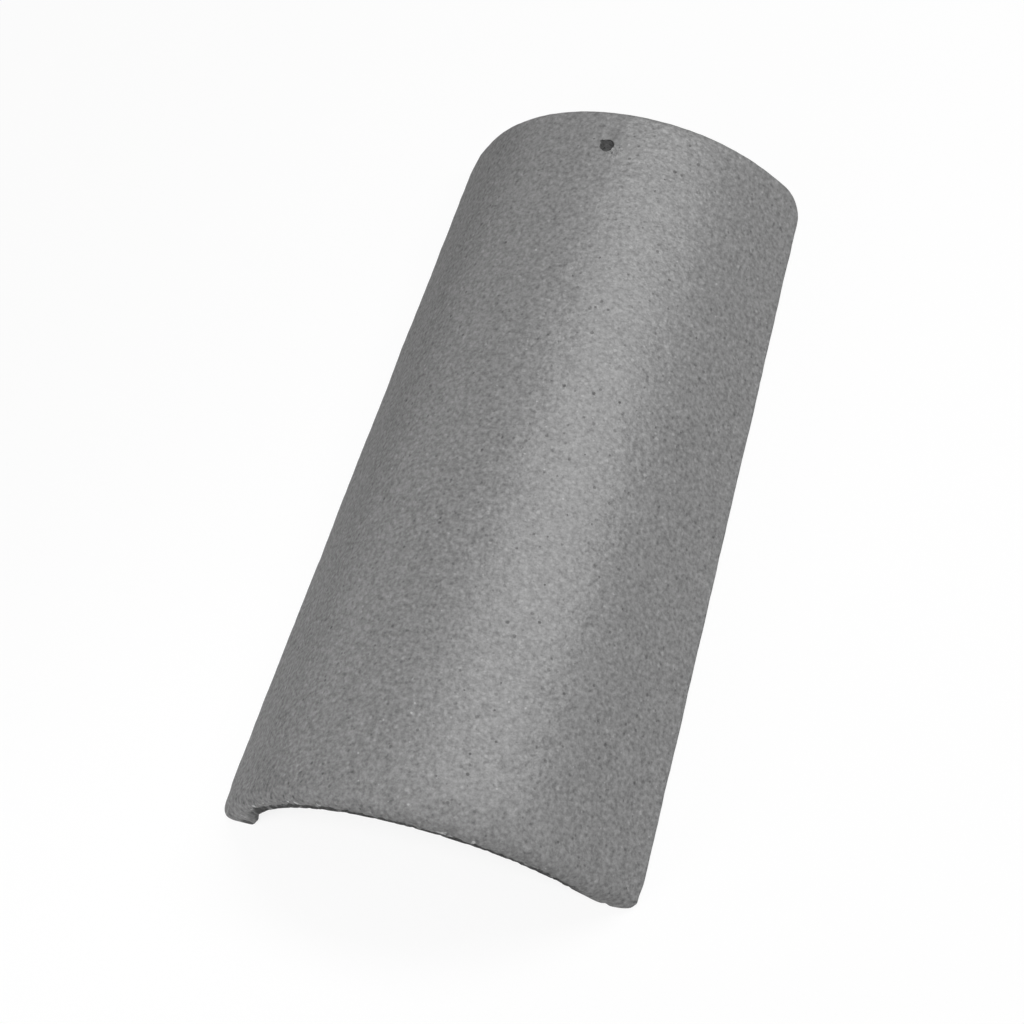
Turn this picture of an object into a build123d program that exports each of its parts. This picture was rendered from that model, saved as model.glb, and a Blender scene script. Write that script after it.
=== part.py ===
"""Concrete ridge tile: a tapered arch shell moulded in one piece, with one nail hole.

The tile stands on its two feet, crown up. +Y runs from its wide end to its narrow end and +Z is up.
The origin is on the floor, in the middle of the length and the width. Lengths are in millimetres.
"""

import os
from math import cos, radians, sin

from build123d import *

# Overall form: a round crown whose sides run straight down as flanks, to feet on the floor
tile_length = 420.0
wide_end_width = 233.0
wide_end_height = 84.5
narrow_end_width = 203.0
narrow_end_height = 67.5
wall = 13.0

# Slope of the flanks, in degrees from the floor
flank_slope = 54.5

# Rounded edges
nose_radius = 8.0
outer_edge_radius = 3.0
inner_edge_radius = 2.0

# Lower corners of the narrow end are round in side view, over this share of its flanks' height
narrow_corner_share = 0.665

# Nail hole, and the shallow groove that its pin leaves in the crown, out over the narrow end
nail_hole_diameter = 8.0
nail_hole_setback = 23.5
groove_width = 11.0
groove_depth = 0.3


def arch_radius(width, height):
    """Radius of the arc that spans this width and rises to this height."""
    return (width**2 / 4 + height**2) / (2 * height)


def crown_radius(width, height):
    """Radius of the crown that meets its flanks smoothly, where the tile is this wide and high."""
    return (width / 2 * flank_sin - height * flank_cos) / (1 - flank_cos)


wide_end_y = -tile_length / 2
narrow_end_y = tile_length / 2
flank_sin = sin(radians(flank_slope))
flank_cos = cos(radians(flank_slope))

# The flanks of the narrow end reach up to where its crown has turned down to their slope
narrow_flank_height = narrow_end_height - crown_radius(narrow_end_width, narrow_end_height) * (1 - flank_cos)
narrow_corner_radius = narrow_flank_height * narrow_corner_share

# The crown falls evenly towards the narrow end
crown_fall = (wide_end_height - narrow_end_height) / tile_length
nail_hole_y = narrow_end_y - nail_hole_setback
nail_hole_crown = narrow_end_height + crown_fall * nail_hole_setback

# The groove's round bottom: this wide at the level of the crown, and this deep
groove_radius = arch_radius(groove_width, groove_depth)

with BuildPart() as ridge_tile:
    # The outside, and then the hollow one wall deeper, which runs on past both ends
    for depth, overrun, mode in ((0, 0, Mode.ADD), (wall, wall, Mode.SUBTRACT)):
        for y in (wide_end_y - overrun, narrow_end_y + overrun):
            # Size of the tile here, and its crown
            taper = (y - wide_end_y) / tile_length
            width = wide_end_width + (narrow_end_width - wide_end_width) * taper
            height = wide_end_height + (narrow_end_height - wide_end_height) * taper
            crown_centre = height - crown_radius(width, height)
            radius = crown_radius(width, height) - depth

            # The outline here, whose flanks run one wall down past the floor
            flank_drop = crown_centre + radius * flank_cos + wall
            foot_x = radius * flank_sin + flank_drop * flank_cos / flank_sin
            with BuildSketch(Plane.XZ.offset(-y)):
                with BuildLine():
                    crown = CenterArc((0, crown_centre), radius, 90 - flank_slope, 2 * flank_slope)
                    Polyline(crown @ 1, (-foot_x, -wall), (foot_x, -wall), crown @ 0)
                make_face()
        loft(ruled=True, mode=mode)

        if mode == Mode.ADD:
            # The floor plane cuts the arch off flat
            split(bisect_by=Plane.XY, keep=Keep.TOP)

            # Lower corners of the narrow end, rounded in side view
            narrow_end_face = ridge_tile.faces().sort_by(Axis.Y)[-1]
            fillet(narrow_end_face.edges().sort_by(Axis.Z)[0], narrow_corner_radius)

            # Rolled nose round the outside of the wide end
            wide_end_face = ridge_tile.faces().sort_by(Axis.Y)[0]
            fillet(wide_end_face.edges().sort_by(Axis.Z)[1:], nose_radius)

            # Outer edges of the feet, running on round their wide ends and up round the narrow end
            floor_face = ridge_tile.faces().sort_by(Axis.Z)[0]
            fillet(floor_face.edges().sort_by(Axis.Y)[:-1], outer_edge_radius)

    # Rim of the hollow: the edges that its cut has left, but for the two seams of its crown and flanks
    rim = ridge_tile.edges(Select.LAST).sort_by(SortBy.LENGTH)[:-2]
    fillet(rim, inner_edge_radius)

    # Groove along the crown: round where it starts at the nail hole, and open at the narrow end
    groove_start = (0, nail_hole_y, nail_hole_crown + groove_radius - groove_depth)
    with Locations(groove_start):
        Sphere(groove_radius, mode=Mode.SUBTRACT)
    with BuildSketch(Plane(origin=groove_start, x_dir=(1, 0, 0), z_dir=(0, 1, -crown_fall))):
        Circle(groove_radius)
    extrude(amount=2 * nail_hole_setback, mode=Mode.SUBTRACT)

    # Nail hole, straight down through the crown
    with Locations((0, nail_hole_y, nail_hole_crown)):
        Hole(nail_hole_diameter / 2)

os.makedirs("parts", exist_ok=True)
ridge_tile.part.label = "ridge_tile"
export_step(ridge_tile.part, "parts/ridge_tile.step")
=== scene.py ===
import math

import bpy
from mathutils import Matrix, Vector


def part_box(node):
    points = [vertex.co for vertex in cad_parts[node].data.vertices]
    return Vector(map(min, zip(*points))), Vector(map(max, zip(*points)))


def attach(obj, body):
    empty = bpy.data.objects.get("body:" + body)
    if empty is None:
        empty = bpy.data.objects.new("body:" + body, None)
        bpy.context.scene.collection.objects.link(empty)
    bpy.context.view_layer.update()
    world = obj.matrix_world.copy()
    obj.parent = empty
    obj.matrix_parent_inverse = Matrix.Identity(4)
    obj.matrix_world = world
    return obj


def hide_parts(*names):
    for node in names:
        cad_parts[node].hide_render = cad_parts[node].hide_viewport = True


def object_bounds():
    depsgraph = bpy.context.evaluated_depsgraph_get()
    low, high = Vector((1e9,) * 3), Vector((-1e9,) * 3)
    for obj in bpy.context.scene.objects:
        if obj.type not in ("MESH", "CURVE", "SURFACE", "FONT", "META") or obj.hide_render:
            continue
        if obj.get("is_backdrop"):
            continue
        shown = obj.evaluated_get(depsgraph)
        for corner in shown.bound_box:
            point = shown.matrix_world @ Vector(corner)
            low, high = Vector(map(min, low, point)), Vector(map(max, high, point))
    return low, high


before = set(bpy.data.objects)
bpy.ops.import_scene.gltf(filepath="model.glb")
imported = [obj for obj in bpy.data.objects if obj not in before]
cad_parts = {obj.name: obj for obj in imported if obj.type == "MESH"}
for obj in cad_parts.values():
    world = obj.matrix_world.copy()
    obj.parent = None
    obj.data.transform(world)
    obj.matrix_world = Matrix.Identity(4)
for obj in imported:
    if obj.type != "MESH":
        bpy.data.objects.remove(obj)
CAD_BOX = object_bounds()

bl_info = {
    "name": "Concrete ridge tile",
    "version": (1, 0, 0),
    "blender": (4, 5, 0),
    "location": "3D View > Sidebar > Ridge Tile",
    "description": "Builds a moulded concrete ridge tile and the plain studio that it stands in",
    "category": "Object",
}

NODE = "ridge_tile"
TILE_LOW, TILE_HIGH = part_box(NODE)

# Rows of the tile's grid from the wide end to the narrow end: how many there are in each stretch
ROW_ZONES = {
    "wide face": 4,
    "nose": 12,
    "wide skin": 12,
    "skin": 216,
    "hole skin": 52,
    "narrow edge": 5,
    "narrow face": 5,
}
# Columns of half the grid, from the crown outside round one foot to the crown inside
COLUMN_ZONES = {
    "outer crown": 20,
    "outer arch": 66,
    "outer flank": 30,
    "outer foot edge": 4,
    "foot": 5,
    "inner foot edge": 3,
    "inner flank": 30,
    "inner arch": 66,
    "inner crown": 20,
}
# Share of the half crown that the close columns at its top cover
CROWN_SHARE = 0.12
# One column or row in this many is kept in the hollow, which is plain
HOLLOW_STEP = 4
# Lengths of the two stretches of closer rows, in metres
WIDE_SKIN = 0.014
HOLE_SKIN = 0.034

# Points nearer than this are one: where the bent grid meets itself, and along the cut of the nail hole
MERGE_DISTANCE = 1e-6
SEAM_DISTANCE = 2e-5

# Wavelengths of the marks in the relief, in metres
RELIEF_SIZES = {
    "waves": 0.045,
    "dents": 0.013,
    "grain": 0.0052,
    "crumbs": 0.0045,
    "bites": 0.012,
    "burr": 0.002,
    "torn mouth": 0.0022,
    "rough bore": 0.003,
}
# Wavelengths and spacings of the marks in the finish, in metres
FINISH_SIZES = {
    "clouds": 0.11,
    "blotches": 0.017,
    "sand": 0.0023,
    "grains": 0.003,
    "pinholes": 0.005,
    "pale grains": 0.0062,
    "ragged border": 0.0042,
    "bright chips": 0.006,
    "crumbs": 0.0018,
    "rolling": 0.0045,
    "peel": 0.0023,
}
# How far the full toe's inner corner lies inside the even wall's
TOE_REACH = 0.0025
# Where the notch in the mouth of the nail hole points, seen from above
NOTCH_ANGLE = math.radians(145)
# Where the smear and the crumbs lie beside the nail hole: the smear in metres, the crumbs in hole diameters
SMEAR_X, SMEAR_Y = 0.0145, -0.001
CRUMBS_X, CRUMBS_Y = 0.7, -0.45

# The camera, and the places of the lamps and what they face
CAMERA_PLACE = Vector((0.3346, -0.4392, 1.004))
CAMERA_AIM = Vector((-0.0117, -0.0096, 0.0))
CAMERA_ROLL = 0.3071
CAMERA_LENS = 74.108
CAMERA_SENSOR = 36.0
KEY_PLACE = (0.8, 1.11, 1.86)
FILL_PLACE = (0.5, -0.67, 1.99)
SIDE_PLACE = (-0.35, -0.5, 0.25)
SIDE_AIM = Vector((-0.1, -0.19, 0.03))
SIDE_SPREAD = math.radians(50)
FULL_SPREAD = math.radians(180)
FLOOR_HALF = 6.0


# Node trees


class Value:
    """A node's output. Python's operators on it add Math nodes to its tree."""

    def __init__(self, graph, socket):
        self.graph = graph
        self.socket = socket

    def __add__(self, other):
        return self.graph.math("ADD", self, other)

    def __radd__(self, other):
        return self.graph.math("ADD", other, self)

    def __sub__(self, other):
        return self.graph.math("SUBTRACT", self, other)

    def __rsub__(self, other):
        return self.graph.math("SUBTRACT", other, self)

    def __mul__(self, other):
        return self.graph.math("MULTIPLY", self, other)

    def __rmul__(self, other):
        return self.graph.math("MULTIPLY", other, self)

    def __truediv__(self, other):
        return self.graph.math("DIVIDE", self, other)

    def __rtruediv__(self, other):
        return self.graph.math("DIVIDE", other, self)

    def __pow__(self, other):
        return self.graph.math("POWER", self, other)

    def __neg__(self):
        return self.graph.math("MULTIPLY", self, -1)

    def __abs__(self):
        return self.graph.math("ABSOLUTE", self)

    def __round__(self):
        return self.graph.math("ROUND", self)

    def __gt__(self, other):
        return self.graph.math("GREATER_THAN", self, other)

    def __lt__(self, other):
        return self.graph.math("LESS_THAN", self, other)

    def clamped(self):
        """This value, held between 0 and 1."""
        return self.graph.node("ShaderNodeClamp", inputs={"Value": self})


class Graph:
    """A node tree that is filled by its one method, node."""

    def __init__(self, tree):
        self.tree = tree

    def node(self, kind, settings=None, inputs=(), output=0):
        """Adds a node, its settings first and its sockets after, and returns one output or a tuple of them."""
        node = self.tree.nodes.new(kind)
        for name, value in (settings or {}).items():
            setattr(node, name, value)
        for key, value in inputs.items() if isinstance(inputs, dict) else enumerate(inputs):
            if isinstance(value, Value):
                self.tree.links.new(value.socket, node.inputs[key])
            else:
                node.inputs[key].default_value = value
        if isinstance(output, tuple):
            return tuple(Value(self, node.outputs[name]) for name in output)
        return Value(self, node.outputs[output]) if len(node.outputs) else node

    def math(self, operation, *values):
        return self.node("ShaderNodeMath", {"operation": operation}, values)

    def vector_math(self, operation, *values, output=0):
        return self.node("ShaderNodeVectorMath", {"operation": operation}, values, output)

    def vector(self, x=0.0, y=0.0, z=0.0):
        return self.node("ShaderNodeCombineXYZ", inputs=(x, y, z))

    def noise(self, where, wavelength, detail=0.0, roughness=0.5, offset=0.0):
        """Noise from 0 to 1 whose features are about this many metres across."""
        if offset:
            where = self.vector_math("ADD", where, (offset, offset, offset))
        sizes = {"Vector": where, "Scale": 1 / wavelength, "Detail": detail, "Roughness": roughness}
        return self.node("ShaderNodeTexNoise", inputs=sizes)

    def scatter(self, where, spacing, shift):
        """Scattered spots: distance to the nearest, as a share of their spacing, and two numbers of its own."""
        sizes = {"Vector": self.vector_math("ADD", where, shift), "Scale": 1 / spacing}
        distance, colour = self.node("ShaderNodeTexVoronoi", {"feature": "F1"}, sizes, ("Distance", "Color"))
        return distance, *self.node("ShaderNodeSeparateColor", inputs=[colour], output=("Red", "Green"))

    def distance(self, here, there):
        return self.vector_math("DISTANCE", here, there, output="Value")

    def separate(self, vector):
        return self.node("ShaderNodeSeparateXYZ", inputs=[vector], output=("X", "Y", "Z"))

    def ramp(self, value, low, high, start=0.0, end=1.0):
        """Smooth step of a value from start to end, while it goes from low to high."""
        limits = {"Value": value, "From Min": low, "From Max": high, "To Min": start, "To Max": end}
        return self.node("ShaderNodeMapRange", {"interpolation_type": "SMOOTHSTEP"}, limits)


def geometry_tree(name, lengths, angles=()):
    """A new geometry tree with these named inputs: its graph, its geometry and its inputs by name."""
    tree = bpy.data.node_groups.new(name, "GeometryNodeTree")
    tree.interface.new_socket(name="Geometry", in_out="INPUT", socket_type="NodeSocketGeometry")
    tree.interface.new_socket(name="Geometry", in_out="OUTPUT", socket_type="NodeSocketGeometry")
    labels = [*lengths, *angles]
    for label in labels:
        socket = tree.interface.new_socket(name=label, in_out="INPUT", socket_type="NodeSocketFloat")
        socket.subtype = "ANGLE" if label in angles else "DISTANCE"
    graph = Graph(tree)
    geometry, *values = graph.node("NodeGroupInput", output=("Geometry", *labels))
    return graph, geometry, dict(zip(labels, values))


def store_marks(graph, geometry, marks):
    """Stores these numbers on the geometry by name, for the relief and the finish."""
    for name, value in marks.items():
        marked = {"Geometry": geometry, "Name": name, "Value": value}
        geometry = graph.node("GeometryNodeStoreNamedAttribute", inputs=marked)
    return geometry


def finish_tree(graph, geometry, material):
    """Ends a geometry tree in real geometry of one material."""
    real = graph.node("GeometryNodeRealizeInstances", inputs={"Geometry": geometry})
    painted = graph.node("GeometryNodeSetMaterial", inputs={"Geometry": real, "Material": material})
    graph.node("NodeGroupOutput", inputs={"Geometry": painted})
    return graph.tree


def add_tree(piece, tree, values):
    """Puts a geometry tree on a piece, with its named inputs set."""
    modifier = piece.modifiers.new(tree.name, "NODES")
    modifier.node_group = tree
    for item in tree.interface.items_tree:
        if item.in_out == "INPUT" and item.name in values:
            modifier[item.identifier] = values[item.name]


def settle(piece):
    """Turns what the piece's modifiers make into its own plain mesh, and takes them off."""
    depsgraph = bpy.context.evaluated_depsgraph_get()
    evaluated = piece.evaluated_get(depsgraph)
    mesh = bpy.data.meshes.new_from_object(evaluated, preserve_all_data_layers=True, depsgraph=depsgraph)
    piece.modifiers.clear()
    piece.data = mesh
    mesh.name = piece.name


# The tile's form


def zone_places(graph, place, zones):
    """How far a place on the grid has gone through each zone, from 0 to 1, by the zone's name."""
    gone = {}
    start = 0
    for name, count in zones.items():
        gone[name] = ((place - start) / count).clamped()
        start += count
    return gone


def arch_tree(material):
    """The tapered arch: a flat grid of whole numbers, bent round the crown, flanks, feet and ends."""
    lengths = [
        "Length",
        "Wide End Radius",
        "Wide End Centre",
        "Narrow End Radius",
        "Narrow End Centre",
        "Wall",
        "Nose Radius",
        "Outer Edge Radius",
        "Inner Edge Radius",
        "Narrow Corner Radius",
        "Groove Start",
        "Groove Radius",
        "Groove Height",
        "Groove Fall",
    ]
    graph, _, size = geometry_tree("Tapered arch", lengths, ["Flank Slope"])
    length, wall = size["Length"], size["Wall"]
    nose, outer_edge = size["Nose Radius"], size["Outer Edge Radius"]
    inner_edge, corner = size["Inner Edge Radius"], size["Narrow Corner Radius"]
    slope_sine = graph.math("SINE", size["Flank Slope"])
    slope_cosine = graph.math("COSINE", size["Flank Slope"])

    rows = sum(ROW_ZONES.values())
    half_columns = sum(COLUMN_ZONES.values())
    columns = 2 * half_columns
    counts = {"Size X": columns, "Size Y": rows, "Vertices X": columns + 1, "Vertices Y": rows + 1}
    grid = graph.node("GeometryNodeMeshGrid", inputs=counts)
    here = graph.node("GeometryNodeInputPosition")
    across, along, _ = graph.separate(here)
    side = graph.math("SIGN", round(across))
    column = round(abs(across))
    row = round(along + rows / 2)

    # In the hollow, columns and rows gather on every few lines, and are merged there
    hollow_start = half_columns - sum(COLUMN_ZONES[name] for name in ("inner flank", "inner arch", "inner crown"))
    skin_start = ROW_ZONES["wide face"] + ROW_ZONES["nose"]
    skin_end = rows - ROW_ZONES["narrow face"] - ROW_ZONES["narrow edge"]
    in_hollow = column > hollow_start
    thinned = in_hollow * (row > skin_start) * (row < skin_end)
    near_column = round((column - hollow_start) / HOLLOW_STEP) * HOLLOW_STEP + hollow_start
    near_row = round((row - skin_start) / HOLLOW_STEP) * HOLLOW_STEP + skin_start
    off_foot = near_column > hollow_start + HOLLOW_STEP / 2
    off_ends = (near_row > skin_start + HOLLOW_STEP / 2) * (near_row < skin_end - HOLLOW_STEP / 2)
    column = column + thinned * (1 - off_foot * (1 - off_ends)) * (near_column - column)
    row = row + thinned * off_foot * (near_row - row)

    # Along the tile: how far in from each face the outside, the inside and the foot have come
    went = zone_places(graph, row, ROW_ZONES)
    quarter = math.pi / 2
    nose_rise = graph.math("SINE", went["nose"] * quarter)
    nose_run = 1 - graph.math("COSINE", went["nose"] * quarter)
    edge_run = graph.math("SINE", went["narrow edge"] * quarter)
    edge_drop = 1 - graph.math("COSINE", went["narrow edge"] * quarter)
    straight = length - nose - outer_edge
    skin_run = (
        went["wide skin"] * WIDE_SKIN
        + went["skin"] * (straight - (WIDE_SKIN + HOLE_SKIN))
        + went["hole skin"] * HOLE_SKIN
    ) / straight

    def run(wide_radius, narrow_radius):
        """Place along the tile, for a side whose two ends have these radii."""
        middle = (length - wide_radius - narrow_radius) * skin_run
        return wide_radius * nose_run + middle + narrow_radius * edge_run - length / 2

    def inset(wide_radius, narrow_radius, wide_seam, narrow_seam):
        """How far the outline has shrunk, for a side whose faces end at these seams."""
        wide = (wide_seam - wide_radius) * (1 - went["wide face"]) + wide_radius * (1 - nose_rise)
        narrow = narrow_radius * edge_drop + (narrow_seam - narrow_radius) * went["narrow face"]
        return wide + narrow

    wide_seam = (nose + wall - inner_edge) / 2
    narrow_seam = (outer_edge + wall - inner_edge) / 2
    outer_inset = inset(nose, outer_edge, wide_seam, narrow_seam)
    inner_inset = inset(inner_edge, inner_edge, wall - wide_seam, wall - narrow_seam)

    # Round the tile: the outline of the section at this place, as a sum of its stretches
    turned = zone_places(graph, column, COLUMN_ZONES)
    outer_run = run(nose, outer_edge)
    inner_run = run(inner_edge, inner_edge)
    foot_run = run(outer_edge, outer_edge)
    to_foot = turned["outer foot edge"]
    to_hollow = turned["inner foot edge"]
    y = outer_run + (foot_run - outer_run) * to_foot + (inner_run - foot_run) * to_hollow
    taper = y / length + 0.5
    wide_radius, wide_centre = size["Wide End Radius"], size["Wide End Centre"]
    radius = wide_radius + (size["Narrow End Radius"] - wide_radius) * taper
    centre = wide_centre + (size["Narrow End Centre"] - wide_centre) * taper

    # The foot rises over the edge of the wide end, and over the round corner of the narrow end
    into_corner = graph.math("MAXIMUM", y - length / 2 + corner, 0.0)
    corner_rise = corner - graph.math("SQRT", graph.math("MAXIMUM", corner**2 - into_corner**2, 0.0))
    wide_rise = (wall / 2 - outer_edge) * (1 - went["wide face"]) + outer_edge * (1 - nose_rise)
    foot = wide_rise + corner_rise + wall / 2 * went["narrow face"]

    outer = radius - outer_inset
    inner = radius - wall + inner_inset
    thickness = outer - inner
    outer_round = graph.math("MINIMUM", outer_edge, thickness * 0.5)
    inner_round = graph.math("MINIMUM", inner_edge, thickness * 0.3)

    def foot_turn(reach, height):
        """Angle where the crown ends, length of the flank below it, and middle of the foot's rounding."""
        cosine = (height - centre) / reach
        angle = graph.math("MINIMUM", graph.math("ARCCOSINE", cosine), size["Flank Slope"])
        flank = graph.math("MAXIMUM", (reach * slope_cosine - height + centre) / slope_sine, 0.0)
        return angle, flank, reach * graph.math("SINE", angle) + flank * slope_cosine

    outer_angle, outer_flank, outer_foot_x = foot_turn(outer - outer_round, foot + outer_round)
    inner_angle, inner_flank, inner_foot_x = foot_turn(inner + inner_round, foot + inner_round)
    outer_flank = outer_flank * turned["outer flank"]
    inner_flank = inner_flank * turned["inner flank"]

    outer_share = CROWN_SHARE * turned["outer crown"] + (1 - CROWN_SHARE) * turned["outer arch"]
    inner_share = CROWN_SHARE * (1 - turned["inner crown"]) + (1 - CROWN_SHARE) * (1 - turned["inner arch"])
    turns = {
        "outer": outer_angle * outer_share,
        "outer foot": outer_angle + (math.pi - outer_angle) * to_foot,
        "inner foot": math.pi + inner_angle * to_hollow,
        "inner": inner_angle * inner_share,
        "outer end": outer_angle,
        "inner end": inner_angle,
    }
    sine = {name: graph.math("SINE", angle) for name, angle in turns.items()}
    cosine = {name: graph.math("COSINE", angle) for name, angle in turns.items()}
    x = (
        outer * sine["outer"]
        + outer_flank * slope_cosine
        + outer_round * (sine["outer foot"] - sine["outer end"])
        + (inner_foot_x - outer_foot_x) * turned["foot"]
        + inner_round * sine["inner foot"]
        - inner_flank * slope_cosine
        + inner * (sine["inner"] - sine["inner end"])
    )
    z = (
        centre
        + outer * cosine["outer"]
        - outer_flank * slope_sine
        + outer_round * (cosine["outer foot"] - cosine["outer end"])
        + inner_round * (cosine["inner foot"] + 1)
        + inner_flank * slope_sine
        + inner * (cosine["inner"] - cosine["inner end"])
    )

    # The groove: what is nearer than its radius to the line over it goes down
    beyond = y - size["Groove Start"]
    forward = graph.math("MAXIMUM", beyond, 0.0)
    height = z - size["Groove Height"] + forward * size["Groove Fall"]
    gap = graph.math("SQRT", x**2 + height**2 + (beyond - forward) ** 2)
    dip = graph.math("MAXIMUM", size["Groove Radius"] - gap, 0.0)
    z = z - dip

    on_nose = (went["nose"] * (3 - 2 * to_hollow)).clamped()
    marks = {
        "hollow": to_hollow > 0.5,
        "foot": (to_foot > 0.5) * (to_hollow < 0.5) * (z < 0.0002),
        "edge": 1 - on_nose,
        "groove": graph.ramp(dip, 0.00002, 0.0002),
        "bore": 0.0,
    }
    bent = {"Geometry": store_marks(graph, grid, marks), "Position": graph.vector(side * x, y, z)}
    bent = graph.node("GeometryNodeSetPosition", inputs=bent)
    merged = graph.node("GeometryNodeMergeByDistance", inputs={"Geometry": bent, "Distance": MERGE_DISTANCE})
    smooth = graph.node("GeometryNodeSetShadeSmooth", inputs={"Geometry": merged})
    return finish_tree(graph, smooth, material)


def attribute(graph, name):
    """A number stored on the mesh, in a geometry tree."""
    return graph.node("GeometryNodeInputNamedAttribute", inputs={"Name": name})


def relief_tree(material):
    """What moulding and wear leave on the form: waves, dents, uneven toes, a chipped edge and a burr."""
    lengths = [
        "Wave Depth",
        "Dent Depth",
        "Grain Depth",
        "Chip Depth",
        "Toe Fill",
        "Toe X",
        "Toe Wear",
        "Burr Height",
        "Burr X",
        "Burr Y",
        "Crown",
        "Half Width",
        "Half Length",
        "Height",
    ]
    graph, geometry, size = geometry_tree("Moulded relief", lengths)
    here = graph.node("GeometryNodeInputPosition")
    normal = graph.node("GeometryNodeInputNormal")
    _, y, z = graph.separate(here)
    half_width, half_length = size["Half Width"], size["Half Length"]

    waves = (graph.noise(here, RELIEF_SIZES["waves"], detail=1.0) - 0.5) * size["Wave Depth"]
    dents = (graph.noise(here, RELIEF_SIZES["dents"], detail=1.0, offset=3.1) - 0.5) * size["Dent Depth"]
    grain = (graph.noise(here, RELIEF_SIZES["grain"], offset=7.7) - 0.5) * size["Grain Depth"]
    skin = waves + dents + grain

    # Crumbs are out of the edge that the wide face shares with the hollow, and a few out of the nose
    rim = graph.ramp(y + half_length, 0.001, 0.006, 1.0, 0.0)
    crumbs = graph.ramp(graph.noise(here, RELIEF_SIZES["crumbs"], detail=1.0, offset=1.7), 0.5, 0.68)
    bites = graph.ramp(graph.noise(here, RELIEF_SIZES["bites"], detail=1.0, offset=5.3), 0.52, 0.7)
    chips = (crumbs * 0.45 + crumbs * bites * 0.55) * rim * size["Chip Depth"]

    # The left toe of the wide end is full and square, and both toes are worn at their outer corners
    def round_spot(x, y, z, near, far):
        """1 within the first distance of a place, and 0 beyond the second."""
        return graph.ramp(graph.distance(here, graph.vector(x, y, z)), near, far, 1.0, 0.0)

    toe = round_spot(size["Toe X"], -half_length, 0.003, 0.006, 0.016)
    toe_middle = round_spot(size["Toe X"] - 0.009, -half_length, 0.003, 0.003, 0.009)
    squareness = graph.math("MAXIMUM", toe, toe_middle) * graph.ramp(z, 0.003, 0.009, 0.85, 0.0)
    squared = squareness * (y + half_length)
    worn_left = round_spot(-half_width, -half_length + 0.006, 0.006, 0.004, 0.014) * size["Toe Wear"]
    worn_right = round_spot(half_width - 0.005, -half_length, 0.002, 0.008, 0.018) * size["Toe Wear"]
    inward = toe * size["Toe Fill"] + worn_left * 0.5 - worn_right * 0.7
    shift = graph.vector(inward, worn_right - squared, 0.0)

    # A burr stands at the mouth of the nail hole
    lumps = graph.noise(here, RELIEF_SIZES["burr"], detail=1.0, offset=2.9) - 0.4
    near_burr = round_spot(size["Burr X"], size["Burr Y"], size["Crown"], 0.001, 0.005)
    burr = near_burr * lumps * size["Burr Height"]

    outward = skin * (1 - attribute(graph, "hollow") * 0.5) - chips * (1 - toe) + burr
    outward = outward * (1 - attribute(graph, "foot"))
    shifted = graph.vector_math("ADD", here, shift)
    place = graph.vector_math("MULTIPLY_ADD", normal, graph.vector(outward, outward, outward), shifted)

    # The form's own box holds it
    low = graph.vector(-half_width, -half_length, 0.0)
    high = graph.vector(half_width, half_length, size["Height"])
    held = graph.vector_math("MINIMUM", graph.vector_math("MAXIMUM", place, low), high)
    moved = graph.node("GeometryNodeSetPosition", inputs={"Geometry": geometry, "Position": held})
    return finish_tree(graph, moved, material)


def hole_tree(material):
    """The nail hole: a slightly uneven pin cut out of the crown, with a torn notch at its mouth."""
    graph, geometry, size = geometry_tree("Nail hole", ["Hole Radius", "Hole Place", "Crown", "Wall"])
    wall = size["Wall"]
    pin_inputs = {"Vertices": 64, "Side Segments": 24, "Radius": size["Hole Radius"], "Depth": wall * 2}
    pin = graph.node("GeometryNodeMeshCylinder", inputs=pin_inputs)
    here = graph.node("GeometryNodeInputPosition")
    x, y, z = graph.separate(here)

    # The pin's middle lies half a wall down, so its mouth is half a wall above its middle
    angle = graph.math("ARCTAN2", y, x)
    near_mouth = graph.ramp(z - wall / 2, -0.004, 0.0002)
    from_notch = abs(graph.math("WRAP", angle - NOTCH_ANGLE, math.pi, -math.pi))
    notch = graph.ramp(from_notch, 0.08, 0.34, 1.0, 0.0) * near_mouth * 0.3
    torn = (graph.noise(here, RELIEF_SIZES["torn mouth"], detail=1.0, offset=0.4) - 0.4) * 0.16 * near_mouth
    rough = (graph.noise(here, RELIEF_SIZES["rough bore"], offset=2.2) - 0.5) * 0.06
    swell = 1 + notch + torn + rough
    place = graph.vector(x * swell, y * swell + size["Hole Place"], z + size["Crown"] - wall / 2)
    shaped = graph.node("GeometryNodeSetPosition", inputs={"Geometry": pin, "Position": place})
    # The bore is marked so that the finish darkens it as painted shade
    shaped = store_marks(graph, shaped, {"hollow": 0.0, "foot": 0.0, "edge": 0.0, "groove": 0.0, "bore": 1.0})

    solids = {"Mesh 1": geometry, "Mesh 2": shaped}
    cut, seam = graph.node(
        "GeometryNodeMeshBoolean",
        {"operation": "DIFFERENCE", "solver": "EXACT"},
        solids,
        ("Mesh", "Intersecting Edges"),
    )
    clean = graph.node("GeometryNodeMergeByDistance", inputs={"Geometry": cut, "Distance": SEAM_DISTANCE})
    split = graph.node("GeometryNodeTriangulate", {"ngon_method": "BEAUTY"}, {"Mesh": clean})
    smooth = graph.node("GeometryNodeSetShadeSmooth", inputs={"Geometry": split})
    sharp = {"Geometry": smooth, "Selection": seam, "Shade Smooth": False}
    sharp = graph.node("GeometryNodeSetShadeSmooth", {"domain": "EDGE"}, sharp)
    return finish_tree(graph, sharp, material)


# Finishes


def new_material(name):
    """A new material and the graph of its emptied node tree."""
    material = bpy.data.materials.new(name)
    material.use_nodes = True
    material.node_tree.nodes.clear()
    return material, Graph(material.node_tree)


def shown_share(graph):
    """1 for the rays that show a thing to the camera, also mirrored or through glass, and 0 for the rest."""
    seen, mirrored, through = graph.node(
        "ShaderNodeLightPath", output=("Is Camera Ray", "Is Glossy Ray", "Is Transmission Ray")
    )
    return (seen + mirrored + through).clamped()


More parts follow.
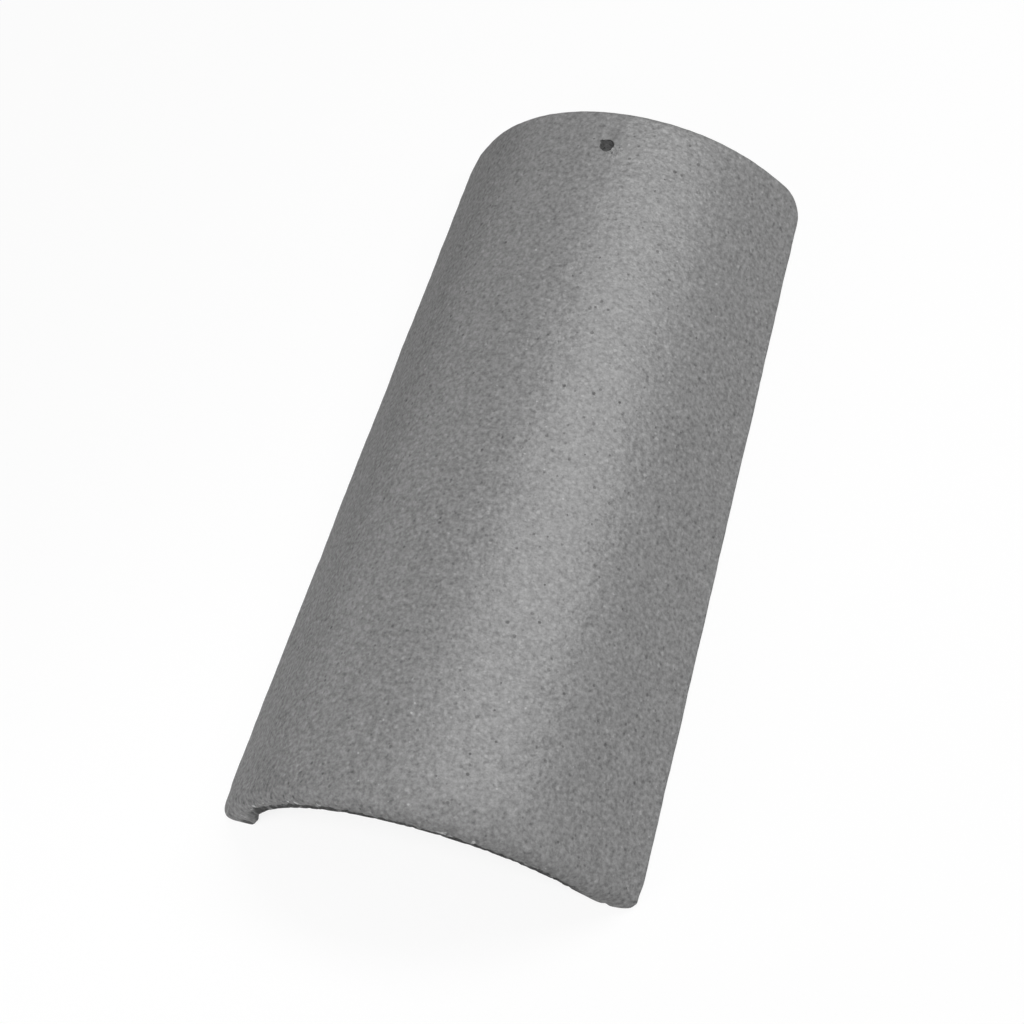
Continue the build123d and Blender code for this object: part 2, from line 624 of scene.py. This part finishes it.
def concrete_material(skin, sizes):
    """Grey moulded concrete: a sandy skin with pinholes and pale grains, and a slight sheen."""
    material, graph = new_material("Moulded concrete")
    here = graph.node("ShaderNodeTexCoord", output="Object")
    x, y, _ = graph.separate(here)
    hollow, edge, groove, bore = (
        graph.node("ShaderNodeAttribute", {"attribute_name": name}, output="Fac")
        for name in ("hollow", "edge", "groove", "bore")
    )

    # Tone: broad cloudiness, blotches and fine sand
    clouds = graph.noise(here, FINISH_SIZES["clouds"], detail=2.0) - 0.5
    blotches = graph.noise(here, FINISH_SIZES["blotches"], detail=2.0, offset=2.0) - 0.5
    sand = graph.noise(here, FINISH_SIZES["sand"], detail=2.0, roughness=0.65, offset=4.0) - 0.5
    mottle = clouds * 0.12 + blotches * 0.1 + sand * skin.sand_contrast

    # Round sand grains, each with its own tone
    grain_distance, grain_tone, grain_size = graph.scatter(here, FINISH_SIZES["grains"], (0.0, 0.0, 0.0))
    grains = 1 - graph.ramp(grain_distance, 0.15, 0.3 + grain_size * 0.25)
    mottle = mottle + grains * (grain_tone - 0.5) * skin.grain_contrast

    # Pinholes, which the tone darkens as painted shade in them, and pale grains
    pin_distance, pin_size, pin_depth = graph.scatter(here, FINISH_SIZES["pinholes"], (0.13, 0.07, 0.21))
    pin_radius = 0.1 + pin_size * 0.15
    pinholes = (1 - graph.ramp(pin_distance / pin_radius, 0.45, 1.0)) * (0.25 + pin_depth * pin_depth * 0.75)
    pale_distance, pale_size, pale_tone = graph.scatter(here, FINISH_SIZES["pale grains"], (0.31, 0.17, 0.05))
    pale = (1 - graph.ramp(pale_distance / (0.05 + pale_size * 0.1), 0.4, 1.0)) * pale_tone

    # The wide face short of the toes, and a patch at the left toe, are darkened as painted shade and made matt,
    # with a ragged border where a few chips are lightened as painted highlights
    ragged = graph.noise(here, FINISH_SIZES["ragged border"], detail=3.0, roughness=0.6, offset=8.0) - 0.5
    toe_x = toe_place(sizes)
    short_of_toes = graph.ramp(abs(x), toe_x - 0.019, toe_x - 0.002, 1.0, 0.0)
    patch_place = (0.001 - toe_x, -sizes.length / 2, 0.004)
    on_patch = graph.ramp(graph.distance(here, patch_place), 0.002, 0.007, 1.0, 0.0)
    patch = graph.ramp(on_patch + ragged * 1.5, 0.4, 0.9) * 0.8
    raw_and_shaded = graph.math("MAXIMUM", graph.ramp(edge + ragged * 1.6, 0.62, 0.97) * short_of_toes, patch)
    border = graph.ramp(edge + ragged * 0.8, 0.1, 0.3) * (1 - raw_and_shaded)
    chips = graph.noise(here, FINISH_SIZES["bright chips"], detail=1.0, offset=11.0)
    # The chips are lightened in colour as painted highlights
    highlighted = graph.ramp(chips, 0.62, 0.68) * border

    # Slurry smeared beside the nail hole, smooth and a little lighter
    hole_place = sizes.length / 2 - sizes.hole_setback
    smear_place = (SMEAR_X, hole_place + SMEAR_Y, sizes.narrow_height)
    smear = graph.ramp(graph.distance(here, smear_place), 0.003, 0.008, 1.0, 0.0)

    # Crumbs at the mouth of the hole, on the side away from the notch
    diameter = sizes.hole_diameter
    crumbs_place = (diameter * CRUMBS_X, hole_place + diameter * CRUMBS_Y, sizes.narrow_height)
    near_crumbs = graph.ramp(graph.distance(here, crumbs_place), 0.002, 0.006, 1.0, 0.0)
    crumbs = near_crumbs * (graph.noise(here, FINISH_SIZES["crumbs"], detail=1.0, offset=2.9) - 0.47)

    tone = 1 + mottle * (1 - smear * 0.7) + smear * 0.06 + crumbs * 3.0
    # The pinholes' darkening here is painted shade
    tone = tone * (1 - pinholes * 0.58) * (1 + pale * 0.9) * (1 - hollow * 0.12)
    # Painted shade: the wide face is darker, the groove a little darker and the bore of the nail hole much darker;
    # painted highlights lighten the chips
    tone = tone * (1 - raw_and_shaded * 0.62) * (1 + highlighted * 1.4) * (1 - groove * 0.07) * (1 - bore * 0.86)
    base = graph.node("ShaderNodeCombineColor", inputs=[tone * channel for channel in skin.base_colour])

    # Relief too fine for the mesh
    rolling = graph.noise(here, FINISH_SIZES["rolling"], detail=1.0, offset=9.0)
    peel = graph.noise(here, FINISH_SIZES["peel"], detail=2.0, roughness=0.55, offset=6.0)
    height = rolling * 0.45 + peel * 0.5 + grains * (grain_tone - 0.3) * 0.25 - pinholes * 0.5 + pale * 0.15
    height = height + raw_and_shaded * ragged * 2.0 + crumbs * 2.0
    bump = graph.node("ShaderNodeBump", inputs={"Strength": 1.0, "Distance": skin.grain_height, "Height": height})

    # The gloss goes where the grains are seen at a slant, and is worn off at the wide end
    slant = graph.node("ShaderNodeLayerWeight", inputs={"Blend": 0.5}, output="Facing")
    worn = graph.ramp(y + sizes.length / 2, 0.004, 0.03, 1.0, 0.0)
    roughness = graph.ramp(slant, 0.3, 0.75, 0.42, 0.95) + (peel - 0.5) * 0.2 + pinholes * 0.3 + worn * 0.3
    coated = {
        "Base Color": base,
        "Roughness": roughness.clamped(),
        "IOR": 1.5,
        "Specular IOR Level": 0.8,
        "Normal": bump,
    }
    matt = {"Base Color": base, "Roughness": 1.0, "IOR": 1.5, "Specular IOR Level": 0.1, "Normal": bump}
    skin_shader = graph.node("ShaderNodeBsdfPrincipled", inputs=coated)
    raw_shader = graph.node("ShaderNodeBsdfPrincipled", inputs=matt)
    shader = graph.node("ShaderNodeMixShader", inputs=[(raw_and_shaded + bore).clamped(), skin_shader, raw_shader])
    graph.node("ShaderNodeOutputMaterial", inputs={"Surface": shader})
    return material


def floor_material(studio):
    """Plain pale floor that keeps the tile's shadow and shows nearly white to the camera."""
    material, graph = new_material("Pale floor")
    matt = graph.node("ShaderNodeBsdfDiffuse", inputs={"Color": (*studio.floor_colour, 1.0)})
    white = graph.node("ShaderNodeEmission", inputs={"Color": (1.0, 1.0, 1.0, 1.0), "Strength": 1.0})
    mixed = graph.node("ShaderNodeMixShader", inputs=[shown_share(graph) * studio.floor_glow, matt, white])
    graph.node("ShaderNodeOutputMaterial", inputs={"Surface": mixed})
    return material


# What a user would change


def length_property(name, description, default):
    return bpy.props.FloatProperty(name=name, description=description, default=default, min=0.0, unit="LENGTH")


class TileSizes(bpy.types.PropertyGroup):
    """Sizes of the moulded form."""

    length: length_property("Length", "From the wide end to the narrow end", TILE_HIGH.y - TILE_LOW.y)
    wide_width: length_property("Wide end width", "Across the wide end, to its sharp corners", 0.233)
    wide_height: length_property("Wide end height", "Height of the crown at the wide end, unrounded", 0.0845)
    narrow_width: length_property("Narrow end width", "Across the narrow end, to its sharp corners", 0.203)
    narrow_height: length_property("Narrow end height", "Height of the crown at the narrow end, unrounded", 0.0675)
    wall: length_property("Wall", "Thickness of the arch", 0.013)
    flank_slope: bpy.props.FloatProperty(
        name="Flank slope",
        description="Slope of the flanks from the floor",
        default=math.radians(54.5),
        subtype="ANGLE",
    )
    nose_radius: length_property("Nose radius", "Rounding outside the wide end", 0.008)
    outer_edge_radius: length_property("Outer edge radius", "Rounding outside the feet and the narrow end", 0.003)
    inner_edge_radius: length_property("Inner edge radius", "Rounding round the hollow", 0.002)
    narrow_corner_radius: length_property("Narrow corner radius", "Rounding of the narrow end's corners", 0.016)
    hole_diameter: length_property("Nail hole diameter", "Bore of the nail hole", 0.008)
    hole_setback: length_property("Nail hole setback", "From the narrow end to the nail hole", 0.0235)
    groove_width: length_property("Groove width", "Across the groove at the crown", 0.011)
    groove_depth: length_property("Groove depth", "Depth of the groove in the crown", 0.0003)


class TileSkin(bpy.types.PropertyGroup):
    """Relief and colour of the tile's surface."""

    base_colour: bpy.props.FloatVectorProperty(
        name="Concrete colour",
        description="Mean colour of the concrete",
        default=(0.155, 0.155, 0.155),
        subtype="COLOR",
    )
    sand_contrast: bpy.props.FloatProperty(
        name="Sand contrast", description="How strongly the fine sand varies in tone", default=2.1, min=0.0
    )
    grain_contrast: bpy.props.FloatProperty(
        name="Grain contrast", description="How strongly the round grains differ in tone", default=0.9, min=0.0
    )
    wave_depth: length_property("Wave depth", "Height of the broad shallow waves", 0.0008)
    dent_depth: length_property("Dent depth", "Height of the small dents", 0.0005)
    sand_depth: length_property("Sand depth", "Height of the coarse sandy relief in the mesh", 0.00025)
    chip_depth: length_property("Chip depth", "Depth of the crumbled places along the wide edge", 0.0008)
    toe_fill: length_property("Toe fill", "How far the left toe reaches in under the hollow", 0.0045)
    toe_wear: length_property("Toe wear", "How deep the outer corners of the wide end are worn", 0.0013)
    burr_height: length_property("Burr height", "Height of the crumbs at the mouth of the nail hole", 0.003)
    grain_height: length_property("Grain height", "Height of the fine sandy relief in the finish", 0.0006)


class StudioSettings(bpy.types.PropertyGroup):
    """Floor and light."""

    floor_colour: bpy.props.FloatVectorProperty(
        name="Floor colour", description="Colour of the floor", default=(0.9, 0.9, 0.9), subtype="COLOR"
    )
    floor_glow: bpy.props.FloatProperty(
        name="Floor whiteness",
        description="How nearly white the floor looks",
        default=0.85,
        min=0.0,
        max=1.0,
        subtype="FACTOR",
    )
    sky_strength: bpy.props.FloatProperty(
        name="Sky strength", description="Strength of the even light from all round", default=0.24, min=0.0
    )
    key_power: bpy.props.FloatProperty(
        name="Key power",
        description="Power of the long soft lamp over the narrow end, in watts",
        default=25.0,
        min=0.0,
    )
    key_length: length_property("Key length", "Length of the long soft lamp, across the tile", 2.3)
    key_width: length_property("Key width", "Width of the long soft lamp, along the tile", 0.5)
    fill_power: bpy.props.FloatProperty(
        name="Fill power",
        description="Power of the soft lamp near the camera, in watts",
        default=21.5,
        min=0.0,
    )
    fill_size: length_property("Fill size", "Width of the soft lamp near the camera", 0.5)
    side_power: bpy.props.FloatProperty(
        name="Side power",
        description="Power of the low soft lamp at the near left toe, in watts",
        default=0.11,
        min=0.0,
    )
    side_size: length_property("Side size", "Width of the low soft lamp", 0.3)


# Operators


def arch_radius(width, height):
    """Radius of the arc that spans this width at its feet and rises to this height."""
    return (width**2 / 4 + height**2) / (2 * height)


def toe_place(sizes):
    """How far the inner corner of a full toe is from the middle, at the wide end."""
    return sizes.wide_width / 2 - sizes.wall / math.sin(sizes.flank_slope) - TOE_REACH


def crown_radius(width, height, slope):
    """Radius of the crown that meets flanks of this slope smoothly, for an end of this size."""
    return (width / 2 * math.sin(slope) - height * math.cos(slope)) / (1 - math.cos(slope))


class RIDGETILE_OT_tile(bpy.types.Operator):
    """Builds the tile in place of its plain solid"""

    bl_idname = "ridge_tile.tile"
    bl_label = "Ridge tile"

    def execute(self, context):
        sizes, skin = context.scene.ridge_tile_sizes, context.scene.ridge_tile_skin
        material = concrete_material(skin, sizes)
        piece = bpy.data.objects.new("ridge_tile_moulded", bpy.data.meshes.new("ridge_tile_moulded"))
        context.scene.collection.objects.link(piece)

        wide_radius = crown_radius(sizes.wide_width, sizes.wide_height, sizes.flank_slope)
        narrow_radius = crown_radius(sizes.narrow_width, sizes.narrow_height, sizes.flank_slope)
        fall = (sizes.wide_height - sizes.narrow_height) / sizes.length
        hole_place = sizes.length / 2 - sizes.hole_setback
        crown = sizes.narrow_height + fall * sizes.hole_setback
        groove_radius = arch_radius(sizes.groove_width, sizes.groove_depth)
        form = {
            "Length": sizes.length,
            "Wide End Radius": wide_radius,
            "Wide End Centre": sizes.wide_height - wide_radius,
            "Narrow End Radius": narrow_radius,
            "Narrow End Centre": sizes.narrow_height - narrow_radius,
            "Wall": sizes.wall,
            "Nose Radius": sizes.nose_radius,
            "Outer Edge Radius": sizes.outer_edge_radius,
            "Inner Edge Radius": sizes.inner_edge_radius,
            "Narrow Corner Radius": sizes.narrow_corner_radius,
            "Groove Start": hole_place,
            "Groove Radius": groove_radius,
            "Groove Height": crown + groove_radius - sizes.groove_depth,
            "Groove Fall": fall,
            "Flank Slope": sizes.flank_slope,
        }
        add_tree(piece, arch_tree(material), form)
        relief = {
            "Wave Depth": skin.wave_depth,
            "Dent Depth": skin.dent_depth,
            "Grain Depth": skin.sand_depth,
            "Chip Depth": skin.chip_depth,
            "Toe Fill": skin.toe_fill,
            "Toe X": -toe_place(sizes),
            "Toe Wear": skin.toe_wear,
            "Burr Height": skin.burr_height,
            "Burr X": sizes.hole_diameter * CRUMBS_X,
            "Burr Y": hole_place + sizes.hole_diameter * CRUMBS_Y,
            "Crown": crown,
            "Half Width": TILE_HIGH.x,
            "Half Length": TILE_HIGH.y,
            "Height": TILE_HIGH.z,
        }
        add_tree(piece, relief_tree(material), relief)
        hole = {
            "Hole Radius": sizes.hole_diameter / 2,
            "Hole Place": hole_place,
            "Crown": crown,
            "Wall": sizes.wall,
        }
        add_tree(piece, hole_tree(material), hole)
        settle(piece)
        if not piece.data.polygons:
            raise RuntimeError("the tile came out empty")
        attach(piece, "root")
        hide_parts(NODE)
        return {"FINISHED"}


class RIDGETILE_OT_studio(bpy.types.Operator):
    """Lays the pale floor, hangs the soft light and sets the camera"""

    bl_idname = "ridge_tile.studio"
    bl_label = "Studio"

    def execute(self, context):
        studio = context.scene.ridge_tile_studio
        corners = [(x * FLOOR_HALF, y * FLOOR_HALF, 0) for x, y in ((-1, -1), (1, -1), (1, 1), (-1, 1))]
        mesh = bpy.data.meshes.new("floor")
        mesh.from_pydata(corners, [], [(0, 1, 2, 3)])
        floor = bpy.data.objects.new("floor", mesh)
        mesh.materials.append(floor_material(studio))
        context.scene.collection.objects.link(floor)
        floor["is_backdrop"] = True

        world = bpy.data.worlds.new("Studio")
        world.use_nodes = True
        world.node_tree.nodes.clear()
        graph = Graph(world.node_tree)
        strength = studio.sky_strength + shown_share(graph) * (1 - studio.sky_strength)
        light = graph.node("ShaderNodeBackground", inputs={"Color": (1, 1, 1, 1), "Strength": strength})
        graph.node("ShaderNodeOutputWorld", inputs={"Surface": light})
        context.scene.world = world

        fill_size, side_size = studio.fill_size, studio.side_size
        lamps = (
            ("key", KEY_PLACE, CAMERA_AIM, studio.key_length, studio.key_width, studio.key_power, FULL_SPREAD),
            ("fill", FILL_PLACE, CAMERA_AIM, fill_size, fill_size, studio.fill_power, FULL_SPREAD),
            ("side", SIDE_PLACE, SIDE_AIM, side_size, side_size, studio.side_power, SIDE_SPREAD),
        )
        for name, place, target, length, width, power, spread in lamps:
            light = bpy.data.lights.new(name, "AREA")
            light.shape = "RECTANGLE"
            light.size = length
            light.size_y = width
            light.energy = power
            light.spread = spread
            back = (Vector(place) - target).normalized()
            across = (Vector((1, 0, 0)) - back * back.x).normalized()
            facing = Matrix((across, back.cross(across), back)).transposed()
            lamp = bpy.data.objects.new(name, light)
            lamp.matrix_world = Matrix.Translation(place) @ facing.to_4x4()
            lamp.visible_camera = False
            context.scene.collection.objects.link(lamp)

        camera_data = bpy.data.cameras.new("camera")
        camera_data.sensor_width = CAMERA_SENSOR
        camera_data.lens = CAMERA_LENS
        camera = bpy.data.objects.new("camera", camera_data)
        forward = (CAMERA_AIM - CAMERA_PLACE).normalized()
        right = forward.cross(Vector((0, 1, 0))).normalized()
        up = right.cross(forward)
        turned_right = right * math.cos(CAMERA_ROLL) + up * math.sin(CAMERA_ROLL)
        turned_up = up * math.cos(CAMERA_ROLL) - right * math.sin(CAMERA_ROLL)
        basis = Matrix((turned_right, turned_up, -forward)).transposed()
        camera.matrix_world = Matrix.Translation(CAMERA_PLACE) @ basis.to_4x4()
        context.scene.collection.objects.link(camera)
        context.scene.camera = camera
        context.scene.view_settings.view_transform = "Standard"
        return {"FINISHED"}


class RIDGETILE_PT_panel(bpy.types.Panel):
    """Sizes, finish and studio of the ridge tile"""

    bl_label = "Ridge Tile"
    bl_idname = "RIDGETILE_PT_panel"
    bl_space_type = "VIEW_3D"
    bl_region_type = "UI"
    bl_category = "Ridge Tile"

    def draw(self, context):
        groups = (
            (context.scene.ridge_tile_sizes, RIDGETILE_OT_tile),
            (context.scene.ridge_tile_skin, None),
            (context.scene.ridge_tile_studio, RIDGETILE_OT_studio),
        )
        for group, operator in groups:
            box = self.layout.box()
            for name in group.__annotations__:
                box.prop(group, name)
            if operator:
                box.operator(operator.bl_idname)


CLASSES = (TileSizes, TileSkin, StudioSettings, RIDGETILE_OT_tile, RIDGETILE_OT_studio, RIDGETILE_PT_panel)


def register():
    for cls in CLASSES:
        bpy.utils.register_class(cls)
    bpy.types.Scene.ridge_tile_sizes = bpy.props.PointerProperty(type=TileSizes)
    bpy.types.Scene.ridge_tile_skin = bpy.props.PointerProperty(type=TileSkin)
    bpy.types.Scene.ridge_tile_studio = bpy.props.PointerProperty(type=StudioSettings)


def unregister():
    del bpy.types.Scene.ridge_tile_studio
    del bpy.types.Scene.ridge_tile_skin
    del bpy.types.Scene.ridge_tile_sizes
    for cls in reversed(CLASSES):
        bpy.utils.unregister_class(cls)


def main():
    register()
    bpy.ops.ridge_tile.tile()
    bpy.ops.ridge_tile.studio()
    boxes = {
        "cad": [list(corner) for corner in CAD_BOX],
        "visual": [list(corner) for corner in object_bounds()],
    }


if __name__ == "__main__":
    main()
